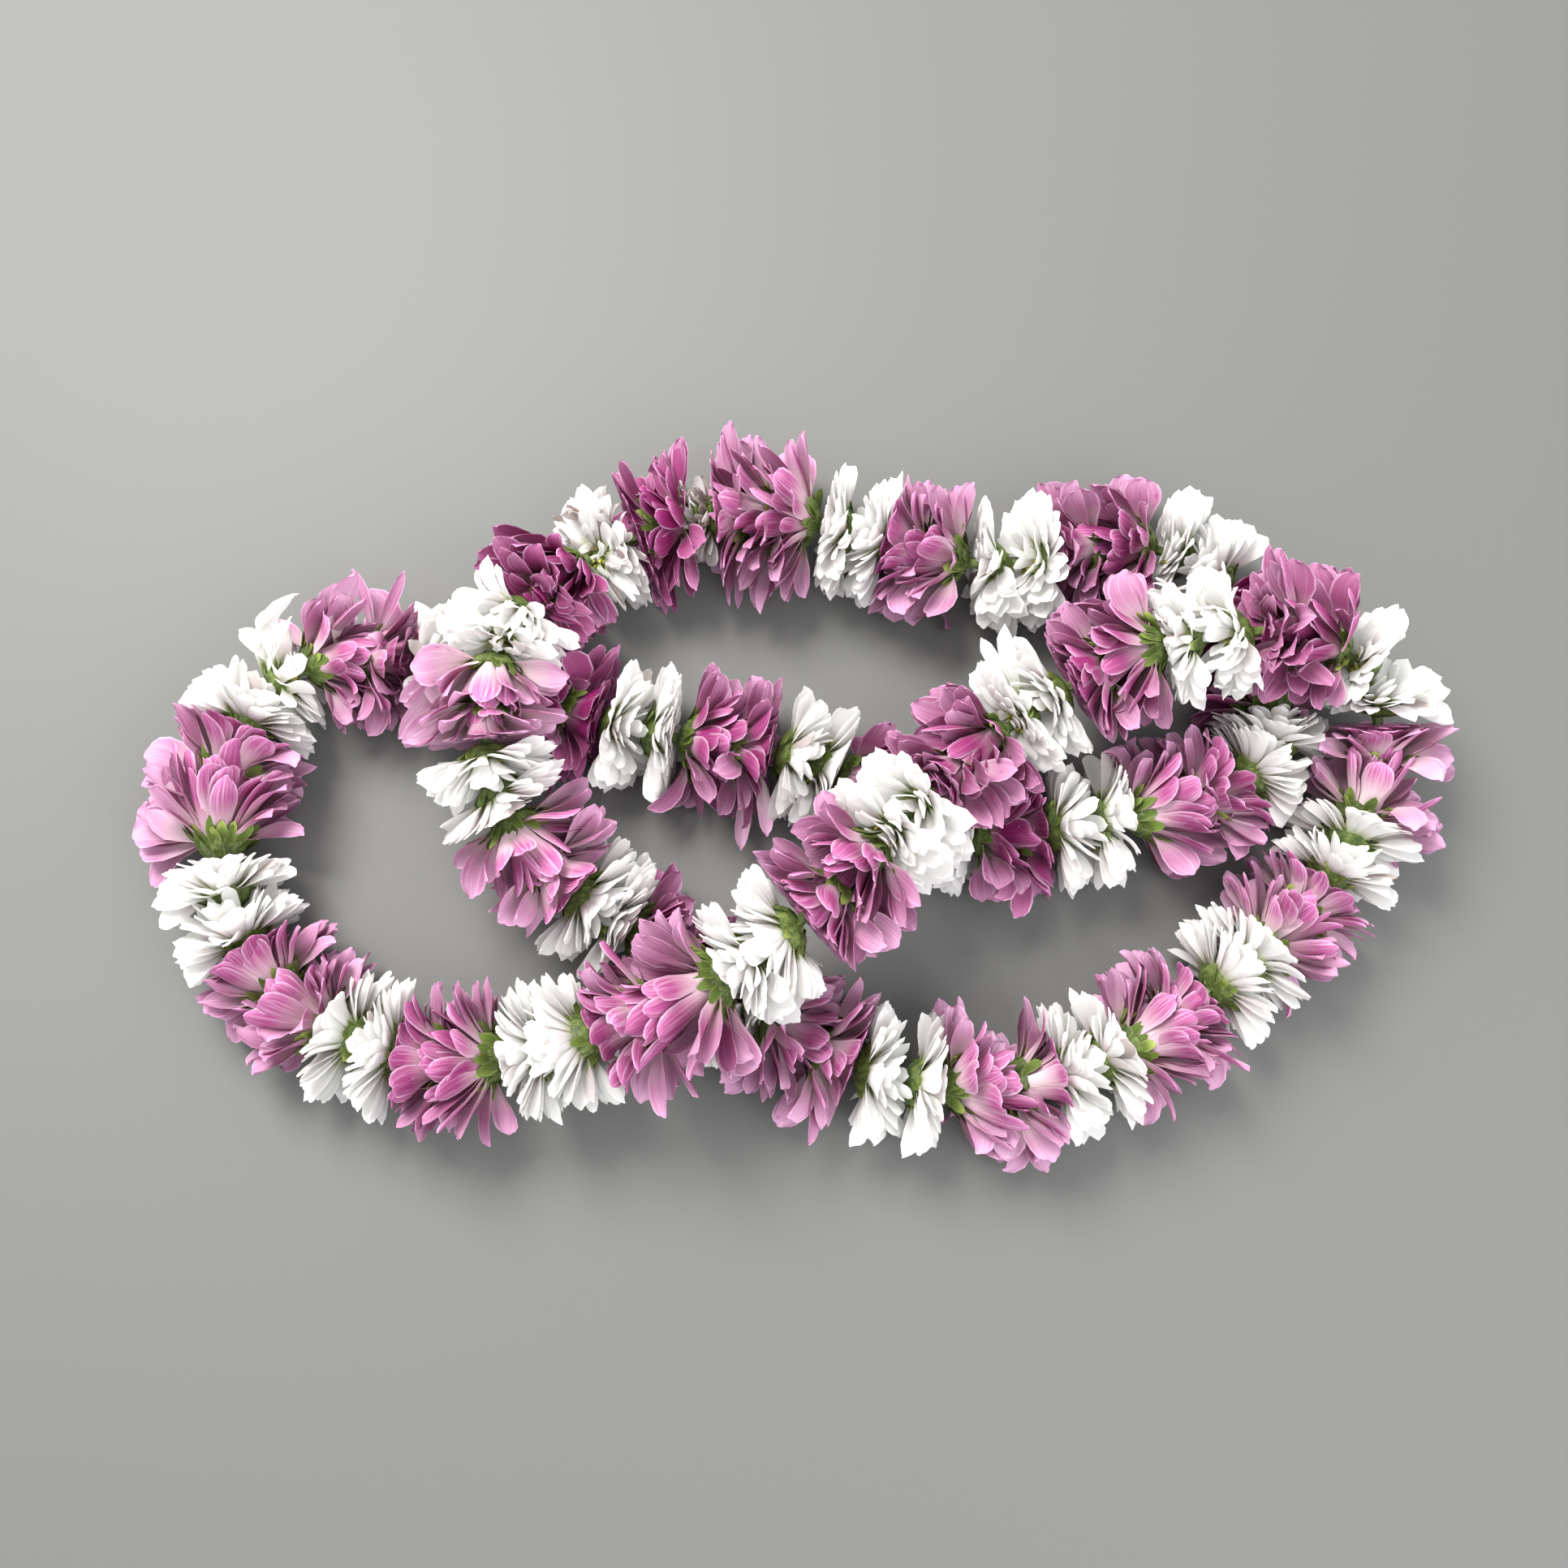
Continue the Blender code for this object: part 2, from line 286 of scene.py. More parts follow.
def midrib(p, along):
    """Forward and outward place, and lean, at each place along each petal's midrib."""
    fine = np.linspace(0, 1, FINE_STEPS + 1)
    lean = p.lean[:, None] + p.curl[:, None] * fine + p.hook[:, None] * fine**HOOK_POWER
    step = p.length[:, None] / FINE_STEPS
    middle = (lean[:, 1:] + lean[:, :-1]) / 2
    ahead = np.cumsum(np.sin(middle) * step, axis=1)
    out = np.cumsum(np.cos(middle) * step, axis=1)
    place = np.clip(along, 0, 1) * FINE_STEPS
    low = np.minimum(place.astype(int), FINE_STEPS - 1)
    share = place - low
    petal = np.arange(len(p.lean))[:, None, None]

    def read(table):
        return table[petal, low] * (1 - share) + table[petal, low + 1] * share

    zero = np.zeros((len(p.lean), 1))
    return read(np.hstack([zero, ahead])), read(np.hstack([zero, out])), read(lean)


def petal_profile(each, form, along, across, place):
    """Millimetres to the side of the midrib and up from it, over each petal's grid."""
    half = each.width / 2
    side = half * outline_width(along, form, each.blunt) * across
    cup = each.cup * (across**2 - CUP_LEVEL) * np.sin(np.pi * np.clip(place, *CUP_ENDS)) ** CUP_FADE
    groove = -form.groove * np.cos(TURN * GROOVE_WAVES * across) * np.clip(GROOVE_ONSET * place, 0, 1)
    ripple = each.ripple * across**3 * place * np.sin(RIPPLE_WAVES * place + each.phase)
    rise = half * (cup + groove + ripple)
    roll = each.roll * np.clip(ROLL_ONSET * place, 0, 1) + each.twist * place
    side, rise = side * np.cos(roll) - rise * np.sin(roll), side * np.sin(roll) + rise * np.cos(roll)
    return side + each.sweep * each.length * place**2, rise


def petal_sheets(p, form, rows, columns):
    """The middle surface of each petal as points in the frame: (petal, row, column, xyz)."""
    each = SimpleNamespace(**{name: value[:, None, None] for name, value in vars(p).items()})
    even = np.linspace(0, 1, rows)
    along = (TIP_ROW * (1 - (1 - even) ** ROW_CLOSENESS))[None, :, None]
    across = np.linspace(-1, 1, columns)[None, None, :]
    notches = 1 - np.cos(TURN * NOTCH_WAVES * across + each.phase)
    place = along * (1 - (form.round * across**2 + form.notch * notches) * along**3)
    ahead, out, lean = midrib(p, place)
    side, rise = petal_profile(each, form, along, across, place)
    ahead = squashed((each.ahead + ahead + rise * np.cos(lean)) * each.stretch, each.front)
    out = each.out + out - rise * np.sin(lean)
    bloom = each.start + ahead / USUAL_PITCH
    angle = each.angle + np.arctan2(side, out)
    return points_at(bloom, np.hypot(side, out) * MM, angle, each.gap, each.mingle)


def shell_pattern(rows, columns):
    """Faces of one closed shell: an upper and a lower sheet that share their rim.

    Returns the faces as numbers of its vertices, each face's side (0 upper, 1 lower), and which of the
    grid's points lie inside the rim, so that each sheet has its own."""
    inner = np.zeros((rows, columns), bool)
    inner[1:-1, 1:-1] = True
    upper = np.arange(rows * columns).reshape(rows, columns)
    lower = upper.copy()
    lower[inner] = rows * columns + np.arange(inner.sum())
    faces = []
    sides = []
    for sheet, number in ((upper, 0), (lower, 1)):
        for row in range(rows - 1):
            for column in range(columns - 1):
                corners = ((row, column), (row, column + 1), (row + 1, column + 1), (row + 1, column))
                ring = [sheet[corner] for corner in corners]
                faces.append(ring if number == 0 else ring[::-1])
                sides.append(number)
    return np.array(faces), np.array(sides), inner


def shells(sheets, thickness, rows, columns):
    """Points of closed shells round the sheets: the whole upper sheet, then the lower one's inner points."""
    along = np.gradient(sheets, axis=1)
    across = np.gradient(sheets, axis=2)
    normal = unit(np.cross(across, along))
    inner = shell_pattern(rows, columns)[2]
    offset = np.where(inner, thickness * MM / 2, 0.0)[None, :, :, None] * normal
    upper = (sheets + offset).reshape(len(sheets), -1, 3)
    lower = (sheets - offset)[:, inner]
    return np.concatenate([upper, lower], axis=1)


def grid_values(rows, columns):
    """Across and along, 0 to 1, and the side, 0 upper and 1 lower, at each vertex of one shell."""
    inner = shell_pattern(rows, columns)[2]
    along, across = np.meshgrid(np.linspace(0, 1, rows), np.linspace(0, 1, columns), indexing="ij")
    side = np.where(inner, 0.0, 0.5)
    return np.concatenate(
        [
            np.stack([across, along, side], axis=2).reshape(-1, 3),
            np.stack([across, along, np.ones_like(across)], axis=2)[inner],
        ]
    )


def joined(parts):
    """One set of petals from several."""
    names = vars(parts[0])
    return SimpleNamespace(
        **{name: np.concatenate([vars(part)[name] for part in parts]) for name in names}
    )


def stray(rng, spread, count):
    """Random numbers whose far ones lie further out than usual, for the odd stray petal."""
    value = rng.normal(0, 1, count)
    return spread * value * (STRAY_NEAR + STRAY_FAR * np.abs(value))


def layer_of_petals(look, layer, form, rng):
    """One layer of a bloom's petals, each a little different from the next."""
    count, ahead, out, lean, curl, tip, length, width = layer
    count = max(1, round(count * look.full))
    phase = rng.uniform(0, 1)
    angle = TURN * ((np.arange(count) + phase + rng.normal(0, TURN_SPREAD, count)) / count)
    tilted = look.tilt * np.cos(angle - look.tilt_side)
    fallen = form.fall * np.maximum(np.sin(angle), 0.0) ** 2
    reach_share = look.size * (1 + form.unlike * rng.normal(0, LENGTH_SPREAD, count))
    return SimpleNamespace(
        start=np.full(count, look.start, float),
        ahead=np.full(count, ahead) + out * np.sin(tilted),
        out=np.full(count, out),
        angle=angle,
        lean=np.radians(np.maximum(lean + fallen + rng.normal(0, form.lean, count), LEAST_LEAN)) + tilted,
        curl=np.radians(curl + form.unlike * stray(rng, CURL_SPREAD, count)),
        hook=np.radians(tip + stray(rng, form.tip, count)),
        length=length * reach_share,
        width=width * min(look.size, 1.0) ** 0.5 * (1 + rng.normal(0, WIDTH_SPREAD, count)),
        cup=form.cup * rng.uniform(*CUP_SHARES, count),
        blunt=form.blunt * rng.uniform(*BLUNT_SHARES, count),
        twist=np.radians(form.unlike * stray(rng, TWIST_SPREAD, count)),
        roll=np.radians(rng.normal(0, form.roll, count) - form.face_up * np.cos(angle)),
        sweep=form.unlike * stray(rng, SWEEP_SPREAD, count),
        ripple=rng.uniform(0.0, form.ripple, count),
        phase=rng.uniform(0, TURN, count),
        gap=rng.uniform(*TABLE_GAPS, count) * MM,
        mingle=rng.uniform(*MINGLING, count) * MM,
        front=np.full(count, look.front, float),
        stretch=np.full(count, look.stretch, float),
        chance=rng.uniform(0, 1, count),
        depth=np.full(count, lean / HEART_LEAN),
        pale=np.clip(look.pale + rng.normal(0, PALE_SPREAD, count), 0, 1),
    )


# How pale each mauve section is, in the order of stringing: 0 is deep magenta and 1 nearly pink.
MAUVE_PALENESS = [
    0.42, 0.56, 0.66, 0.04, 0.05, 0.90, 0.78, 0.20, 0.66, 0.74, 0.62, 0.84, 0.86, 0.25,
    0.42, 0.28, 0.48, 0.54, 0.46, 0.60, 0.60, 0.62, 0.06, 0.30, 0.22, 0.26, 0.55, 0.14,
]
WHITE_PALENESS = 0.5
# Sections whose blooms stand larger or smaller than the rest.
SECTION_SIZES = {5: 1.20, 6: 0.56, 7: 1.05, 11: 1.05, 15: 0.92, 35: 1.12, 41: 1.06, 49: 0.90}
# How far a section's two blooms usually start from their count, and where the others start.
USUAL_SHIFTS = {"white": (-0.08, -0.16), "mauve": (-0.34, -0.20)}
SHIFT_SPREAD = 0.04
BLOOM_STARTS = {
    3: (4.75, 5.55), 4: (6.40, 7.30), 5: (8.30, 9.15, 10.10), 6: (11.00, 11.50), 7: (12.05, 13.20),
    8: (14.60, 15.45), 11: (20.60, 21.70), 18: (35.00, 36.00), 19: (36.80, 38.10), 21: (40.45, 41.60),
    23: (44.50, 45.60), 25: (48.45, 49.60), 27: (52.85, 53.80), 33: (64.55, 65.60), 34: (66.80, 67.65),
    35: (68.40, 69.60), 37: (72.85, 74.00), 38: (75.10, 76.00), 42: (82.80, 83.75),
}
# How far blooms usually tilt from the string's direction, and those with a tilt of their own, by section and
# number in it: the tilt and the side that leans forward (degrees). And blooms with only some petals left.
TILT_SPREAD = 10.0
STRONG_TILTS = {
    (5, 0): (16, -90), (7, 0): (34, -90), (7, 1): (10, 60), (8, 1): (34, -70), (10, 0): (12, 90),
    (11, 0): (20, 120), (42, 1): (14, -60),
}
SPARSE_BLOOMS = {(42, 1): 0.40}
# Where blooms stand wider apart their petals are more, and where they are crowded their petals reach further
# over the next bloom, by these powers of the spacing. The spacing counts between these limits.
FULLER = 0.7
CROWDED = 0.6
SPACINGS = (0.75, 1.4)
# Sections with wilted petals: the share of the petals that are, and the share of their paleness they keep.
WILTED = {6: (0.6, 0.35), 8: (0.25, 0.5), 10: (0.55, 0.9), 28: (0.65, 0.9), 43: (0.2, 0.6)}
NONE_WILTED = (0.0, 1.0)
# Lowest and highest for a wilted petal: its width's share, and what its bends and its twist gain (degrees).
LIMP_WIDTHS = (0.45, 0.75)
LIMP_CURLS = (-50, 90)
LIMP_HOOKS = (-60, 140)
LIMP_TWISTS = (-90, 90)
LIMP_RIPPLE = 0.5


def section_blooms(section, rng):
    """Where a section's blooms start, how they tilt and how they look."""
    colour = colour_of(section)
    usual = [2 * section - 1 + number + USUAL_SHIFTS[colour][number] for number in (0, 1)]
    starts = BLOOM_STARTS.get(section, usual)
    spacing = string_pitch(starts[0]) / (USUAL_PITCH * MM)
    fullness = np.clip(spacing, *SPACINGS) ** FULLER
    blooms = []
    for number, start in enumerate(starts):
        usual_tilt = (rng.normal(0, TILT_SPREAD), rng.uniform(0, 360))
        tilt, side = STRONG_TILTS.get((section, number), usual_tilt)
        blooms.append(
            SimpleNamespace(
                start=start + rng.normal(0, SHIFT_SPREAD),
                front=FRONT[colour] if number == len(starts) - 1 else OPEN_FRONT,
                stretch=min(spacing, 1.0) ** -CROWDED,
                tilt=np.radians(tilt),
                tilt_side=np.radians(side),
                size=SECTION_SIZES.get(section, 1.0),
                full=SPARSE_BLOOMS.get((section, number), fullness),
                pale=WHITE_PALENESS if colour == "white" else MAUVE_PALENESS[section // 2],
            )
        )
    return blooms


def wilted(p, share, kept, rng):
    """The petals, with this share of them narrow, curled and twisted."""
    limp = rng.uniform(0, 1, len(p.lean)) < share
    count = limp.sum()
    p.width[limp] *= rng.uniform(*LIMP_WIDTHS, count)
    p.curl[limp] += np.radians(rng.uniform(*LIMP_CURLS, count))
    p.hook[limp] += np.radians(rng.uniform(*LIMP_HOOKS, count))
    p.twist[limp] += np.radians(rng.uniform(*LIMP_TWISTS, count))
    p.ripple[limp] = LIMP_RIPPLE
    p.pale[limp] *= kept
    return p


# Petals with a place of their own. For each section, one row a petal: the bloom it grows from, its turn round
# the string, lean, bend and bend of the tip (degrees), length and width (mm), roll (degrees) and paleness.
SINGLE_PETALS = {
    11: [
        (20.8, 178, 26, 6, 0, 26.0, 6.8, 60, 0.95),
        (20.9, 175, 42, 4, 4, 30.0, 7.2, 56, 1.0),
        (20.9, 168, 56, 0, 6, 28.0, 7.2, 50, 1.0),
    ],
    41: [
        (80.9, -16, 2, 6, 0, 25.0, 7.4, -60, 0.80),
        (81.0, -6, 12, 4, 6, 23.0, 7.0, -66, 0.95),
        (81.2, 26, 12, 0, 8, 22.0, 7.2, -24, 0.85),
    ],
    42: [
        (83.55, 30, 26, 10, 62, 27.0, 6.8, -44, 0.5),
        (83.55, 56, 44, -4, 8, 22.0, 6.6, -10, 0.5),
        (83.55, 100, 54, -8, -6, 22.0, 6.8, 0, 0.5),
        (83.55, 134, 46, -6, 0, 24.0, 6.8, 14, 0.5),
        (83.55, 160, 28, 0, 12, 25.0, 7.0, 46, 0.5),
        (83.55, 171, 10, 4, -10, 25.0, 6.8, 56, 0.5),
    ],
    43: [
        (85.1, 32, 9, 4, 30, 26.0, 7.6, -50, 1.0),
        (85.2, 70, 62, 8, 30, 17.0, 8.6, 10, 1.0),
        (85.8, 11, -8, -8, 0, 26.0, 3.4, -50, 0.35),
        (85.8, 12, 14, -6, 0, 27.0, 3.2, -50, 0.30),
    ],
    47: [
        (94.2, -174, -3, 6, 10, 29.0, 6.4, 60, 1.0),
        (94.3, 178, 25, -4, 6, 25.0, 7.6, 50, 0.95),
    ],
    26: [(52.1, 12, -10, -10, -12, 27.0, 5.6, -30, 0.5), (52.0, 20, 0, -8, -12, 25.0, 5.4, -30, 0.5)],
    30: [(59.6, 158, -10, -12, -8, 25.0, 7.0, 30, 0.5), (59.6, 170, 2, -6, 0, 24.0, 7.0, 30, 0.5)],
}
SINGLE_ROOT = (4.8, 5.4)
PLAIN_BLOOM = SimpleNamespace(
    start=0.0, front=OPEN_FRONT, stretch=1.0, tilt=0.0, tilt_side=0.0, size=1.0, full=1.0, pale=0.5
)


def single_petals(rows, form, rng):
    """Petals that each have their own row of numbers."""
    bloom, angle, lean, curl, tip, length, width, roll, pale = np.array(rows, float).T
    p = layer_of_petals(PLAIN_BLOOM, (len(rows), *SINGLE_ROOT, 0, 0, 0, 1.0, 1.0), form, rng)
    p.start, p.angle, p.length, p.width, p.pale = bloom, np.radians(angle), length, width, pale
    p.lean, p.curl, p.hook, p.roll = (np.radians(value) for value in (lean, curl, tip, roll))
    return p


# Sections with a petal folded flat on the table, as in the CAD part.
RESTING_SECTIONS = (3, 7, 19, 23, 38, 41)
RESTING_TURN = -58.0
RESTING_LENGTH = 23.0
RESTING_WIDTH = 8.0
RESTING_PALENESS = 0.7
RESTING_GAP = 0.25 * MM


def resting_petals(section, form, rng):
    """The petal that is folded under the strand, and lies flat on the table on its left, if there is one."""
    if section not in RESTING_SECTIONS:
        return []
    row = (2.0 * section, RESTING_TURN, 0, 0, 0, RESTING_LENGTH, RESTING_WIDTH, 0, RESTING_PALENESS)
    p = single_petals([row], form, rng)
    p.gap[:] = RESTING_GAP
    p.ahead[:] = 0.0
    return [p]


def grown(blooms, layers, form, rng):
    """Every layer of petals, or of bracts, of these blooms."""
    return joined([layer_of_petals(bloom, layer, form, rng) for bloom in blooms for layer in layers])


def section_petals(section, blooms, rng):
    """The petals of one section's blooms."""
    form = PETAL_FORMS[colour_of(section)]
    petals = grown(blooms, PETAL_LAYERS[colour_of(section)], form, rng)
    petals = wilted(petals, *WILTED.get(section, NONE_WILTED), rng)
    parts = [petals, *resting_petals(section, form, rng)]
    if section in SINGLE_PETALS:
        parts.append(single_petals(SINGLE_PETALS[section], form, rng))
    return joined(parts)


# ---- meshes

# Edges sharper than this, in degrees, stay sharp in the shading.
LEAF_EDGE = 75
SOLID_EDGE = 50


def new_object(name, points, faces, made_of, sharp_edge):
    """A smooth object of one material."""
    mesh = bpy.data.meshes.new(name)
    mesh.from_pydata(np.asarray(points, float).tolist(), [], faces)
    mesh.materials.append(made_of)
    mesh.shade_smooth()
    mesh.set_sharp_from_angle(angle=np.radians(sharp_edge))
    obj = bpy.data.objects.new(name, mesh)
    bpy.context.scene.collection.objects.link(obj)
    return obj


def solid_object(name, parts, made_of):
    """One object from several closed parts, each its points and faces."""
    points = np.concatenate([part_points for part_points, _ in parts])
    faces = []
    first = 0
    for part_points, part_faces in parts:
        faces += [[first + corner for corner in face] for face in part_faces]
        first += len(part_points)
    return new_object(name, points, faces, made_of, SOLID_EDGE)


def write_colours(obj, name, values):
    """Four numbers at each vertex, which the materials read by name."""
    layer = obj.data.attributes.new(name, "FLOAT_COLOR", "POINT")
    layer.data.foreach_set("color", np.asarray(values, np.float32).ravel())


# Where a petal's upper sheet lies in its square cell of the map: corner and size. The lower one is beside it.
SHEET_CORNER = (0.04, 0.05)
SHEET_SIZE = (0.42, 0.90)


def write_map(obj, count, rows, columns):
    """A map for the bake: each petal's two sheets side by side in a cell of their own."""
    faces, sides, _ = shell_pattern(rows, columns)
    place = grid_values(rows, columns)[faces.ravel()][:, :2]
    cell = place * SHEET_SIZE + SHEET_CORNER
    cell[:, 0] += np.repeat(sides, 4) / 2
    across = int(np.ceil(np.sqrt(count)))
    corner = np.stack(np.divmod(np.arange(count), across)[::-1], axis=1)
    uv = (corner[:, None] + cell[None]) / across
    layer = obj.data.uv_layers.new(name="OFBake")
    layer.uv.foreach_set("vector", uv.astype(np.float32).ravel())


def leaf_object(name, p, form, grid, made_of):
    """One object holding a closed shell for each petal or bract."""
    points = shells(petal_sheets(p, form, *grid), form.thick, *grid)
    count, per_shell = points.shape[:2]
    faces = shell_pattern(*grid)[0][None] + per_shell * np.arange(count)[:, None, None]
    obj = new_object(name, points.reshape(-1, 3), faces.reshape(-1, 4).tolist(), made_of, LEAF_EDGE)
    place = np.broadcast_to(grid_values(*grid)[None], (count, per_shell, 3))
    own = np.stack([p.chance, p.pale, p.depth], axis=1)[:, None].repeat(per_shell, axis=1)
    unread = np.ones((count, per_shell, 2))
    write_colours(obj, "petal_place", np.concatenate([place, own[..., :1]], axis=2))
    write_colours(obj, "petal_look", np.concatenate([own[..., 1:], unread], axis=2))
    write_map(obj, count, *grid)
    return obj


# ---- materials

# The specular level that the shader starts with, and the colour sockets of a Mix node.
USUAL_SPECULAR = 0.5
MIX_FIRST, MIX_SECOND, MIX_RESULT = 6, 7, 2


class Nodes:
    """A material's node tree, with short calls for the nodes used here."""

    def __init__(self, name):
        """A new material with its own shader."""
        self.material = bpy.data.materials.new(name)
        self.material.use_nodes = True
        self.tree = self.material.node_tree
        self.shader = self.tree.nodes["Principled BSDF"]
        self.output = self.tree.nodes["Material Output"]

    def add(self, kind, **settings):
        """A new node with these settings."""
        node = self.tree.nodes.new(kind)
        for name, value in settings.items():
            setattr(node, name, value)
        return node

    def join(self, source, target):
        """Links two sockets."""
        self.tree.links.new(source, target)

    def put(self, socket, value):
        """Links a socket, or sets its number or colour."""
        if hasattr(value, "links"):
            self.join(value, socket)
        elif isinstance(value, tuple):
            socket.default_value = (*value, 1.0)
        else:
            socket.default_value = value

    def attribute(self, name):
        """The four numbers of a colour attribute."""
        read = self.add("ShaderNodeAttribute", attribute_name=name)
        split = self.add("ShaderNodeSeparateColor")
        self.join(read.outputs["Color"], split.inputs[0])
        return [*split.outputs, read.outputs["Alpha"]]

    def maths(self, operation, first, second=0.0, third=0.0):
        """One step of arithmetic on sockets or numbers."""
        node = self.add("ShaderNodeMath", operation=operation)
        for socket, value in zip(node.inputs, (first, second, third)):
            self.put(socket, value)
        return node.outputs[0]

    def times(self, first, second):
        """The product of two sockets or numbers."""
        return self.maths("MULTIPLY", first, second)

    def line(self, value, slope, start):
        """A straight line: the value by the slope, plus the start."""
        return self.maths("MULTIPLY_ADD", value, slope, start)

    def spread(self, value, low, high, to_low=0.0, to_high=1.0):
        """The value's place between low and high, smoothed."""
        node = self.add("ShaderNodeMapRange", interpolation_type="SMOOTHSTEP")
        for socket, number in zip(node.inputs, (value, low, high, to_low, to_high)):
            self.put(socket, number)
        return node.outputs[0]

    def mix(self, share, first, second, blend="MIX"):
        """The first colour, with this share of the second."""
        node = self.add("ShaderNodeMix", data_type="RGBA", blend_type=blend)
        self.put(node.inputs[0], share)
        self.put(node.inputs[MIX_FIRST], first)
        self.put(node.inputs[MIX_SECOND], second)
        return node.outputs[MIX_RESULT]

    def noise(self, vector, scale, detail, roughness):
        """Cloudy noise, 0 to 1."""
        node = self.add("ShaderNodeTexNoise")
        self.join(vector, node.inputs["Vector"])
        node.inputs["Scale"].default_value = scale
        node.inputs["Detail"].default_value = detail
        node.inputs["Roughness"].default_value = roughness
        return node.outputs["Fac"]

    def vector(self, x, y, z):
        """A vector from three sockets or numbers."""
        node = self.add("ShaderNodeCombineXYZ")
        for socket, value in zip(node.inputs, (x, y, z)):
            self.put(socket, value)
        return node.outputs[0]

    def bump(self, height, strength, distance):
        """The normal of a surface raised by the height."""
        node = self.add("ShaderNodeBump")
        node.inputs["Strength"].default_value = strength
        node.inputs["Distance"].default_value = distance
        self.join(height, node.inputs["Height"])
        return node.outputs[0]

    def surface(self, colour, normal, roughness, specular=USUAL_SPECULAR):
        """Fills in the shader and returns the material."""
        self.join(colour, self.shader.inputs["Base Color"])
        self.join(normal, self.shader.inputs["Normal"])
        self.shader.inputs["Roughness"].default_value = roughness
        self.shader.inputs["Specular IOR Level"].default_value = specular
        return self.material

    def let_through(self, share, colour, normal):
        """Mixes in light that comes through the thin tissue."""
        through = self.add("ShaderNodeBsdfTranslucent")
        self.put(through.inputs["Color"], colour)
        self.join(normal, through.inputs["Normal"])
        both = self.add("ShaderNodeMixShader")
        both.inputs[0].default_value = share
        self.join(self.shader.outputs[0], both.inputs[1])
        self.join(through.outputs[0], both.inputs[2])
        self.join(both.outputs[0], self.output.inputs["Surface"])


# How fine a petal's veins are across it and along it, how far apart two petals read the noise, and the
# noise's detail and roughness.
VEINS_ACROSS = 15.0
VEINS_ALONG = 1.3
VEINS_APART = 53.0
VEIN_GRAIN = (3.0, 0.6)


def petal_veins(nodes, across, along, chance):
    """Fine lines that run from the claw to the tip, different on each petal."""
    place = nodes.vector(
        nodes.times(across, VEINS_ACROSS), nodes.times(along, VEINS_ALONG), nodes.times(chance, VEINS_APART)
    )
    return nodes.noise(place, 1.0, *VEIN_GRAIN)


def rim_share(nodes, across):
    """0 along the middle of a petal and 1 at its rim."""
    return nodes.maths("ABSOLUTE", nodes.line(across, 2.0, -1.0))


# Colours of a mauve petal: the two ends of its own colour, single rosier petals, and what is laid over it:
# veins, a painted highlight on the tip and rim, the paler back, painted shade in the bloom's heart, the pale
# claw, and the tint of the light let through.
DEEP_MAGENTA = (0.32, 0.026, 0.155)
PALE_MAUVE = (0.65, 0.225, 0.455)
ROSE = (0.60, 0.16, 0.40)
DARK_VEIN = (0.62, 0.42, 0.62)
LIGHT_VEIN = (0.87, 0.70, 0.85)
MAUVE_TIP_HIGHLIGHT = (0.80, 0.32, 0.62)
MAUVE_RIM_HIGHLIGHT = (0.88, 0.66, 0.84)
MAUVE_BACK = (0.82, 0.58, 0.76)
MAUVE_HEART_SHADE = (0.30, 0.016, 0.135)
MAUVE_CLAW = (0.88, 0.80, 0.78)
MAUVE_GLOW = (1.0, 0.55, 0.84)


def mauve_tissue(nodes, veins, pale, chance):
    """A petal's own colour, from deep magenta to pale mauve, with darker and lighter veins."""
    body = nodes.mix(pale, DEEP_MAGENTA, PALE_MAUVE)
    body = nodes.mix(nodes.times(chance, 0.25), body, ROSE)
    dark = nodes.spread(veins, 0.62, 0.36, 0.0, 0.42)
    body = nodes.mix(dark, body, nodes.mix(1.0, body, DARK_VEIN, "MULTIPLY"))
    light = nodes.spread(veins, 0.46, 0.70, 0.0, 0.85)
    return nodes.mix(nodes.times(light, pale), body, LIGHT_VEIN)


def mauve_margins(nodes, body, across, along, side, pale):
    """A painted highlight on the tip and along the rim, and the paler back of a petal."""
    # Painted highlight: the outer part of the petal is mixed towards a lighter colour, standing in for light
    # on the cupped, glossy tip.
    body = nodes.mix(nodes.spread(along, 0.50, 1.0, 0.0, 0.30), body, MAUVE_TIP_HIGHLIGHT)
    # Painted highlight along the rim and the tip's edge, standing in for light caught on and let through the
    # thin margin.
    rim = nodes.spread(rim_share(nodes, across), 0.80, 1.0, 0.0, 0.85)
    rim_highlight = nodes.maths("MAXIMUM", rim, nodes.spread(along, 0.91, 1.0, 0.0, 0.60))
    body = nodes.mix(rim_highlight, body, MAUVE_RIM_HIGHLIGHT)
    return nodes.mix(nodes.times(side, nodes.line(pale, 0.70, 0.12)), body, MAUVE_BACK)


def mauve_base(nodes, body, along, pale, depth):
    """Painted shade on the lower part, deepest in the bloom's heart, and the pale claw."""
    # Painted shade: the lower part of each petal is darkened towards deep magenta, most in the inner layers,
    # standing in for the shade deep in the bloom.
    heart_shade = nodes.times(nodes.line(depth, 0.65, 0.35), nodes.spread(along, 0.80, 0.20, 0.0, 0.80))
    body = nodes.mix(heart_shade, body, MAUVE_HEART_SHADE)
    claw = nodes.spread(along, nodes.line(pale, 0.34, 0.26), 0.04)
    shown = nodes.times(nodes.line(depth, -0.55, 1.0), nodes.line(pale, 0.75, 0.30))
    return nodes.mix(nodes.times(claw, shown), body, MAUVE_CLAW)


